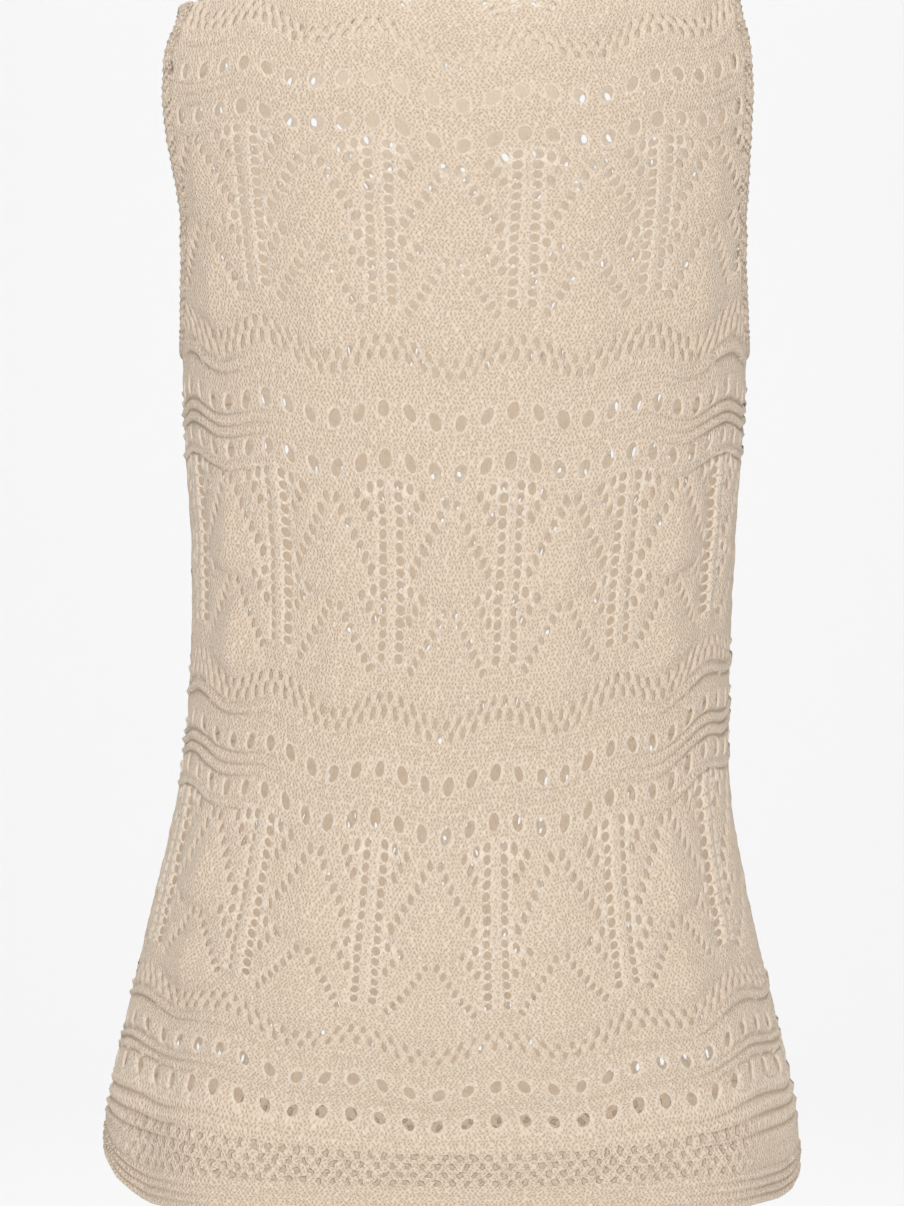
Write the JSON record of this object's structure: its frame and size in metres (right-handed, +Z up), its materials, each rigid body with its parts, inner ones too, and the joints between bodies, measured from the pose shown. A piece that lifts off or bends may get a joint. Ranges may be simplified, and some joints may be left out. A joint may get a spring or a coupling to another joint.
{
  "type": "knit tank top",
  "caption": "Sleeveless lace-knit top, hollow in its worn form, with open neck, armholes and hem.",
  "frame": {"origin": "midway between the wearer's shoulders, level with the middle of the two shoulder seams", "axes": "+Z up, -Y towards the back of the garment, +Y towards its front, X along the shoulders"},
  "size_m": [0.3668, 0.2383, 0.6578],
  "materials": {
    "lace_knit": "matt cotton yarn, lace and garter knit",
    "edge_knit": "matt cotton yarn, rolled plain edge"
  },
  "bodies": {
    "root": {"back_panel": "lace_knit", "front_panel": "lace_knit", "neck_band": "edge_knit", "armhole_band_left": "edge_knit", "armhole_band_right": "edge_knit"}
  },
  "joints": []
}
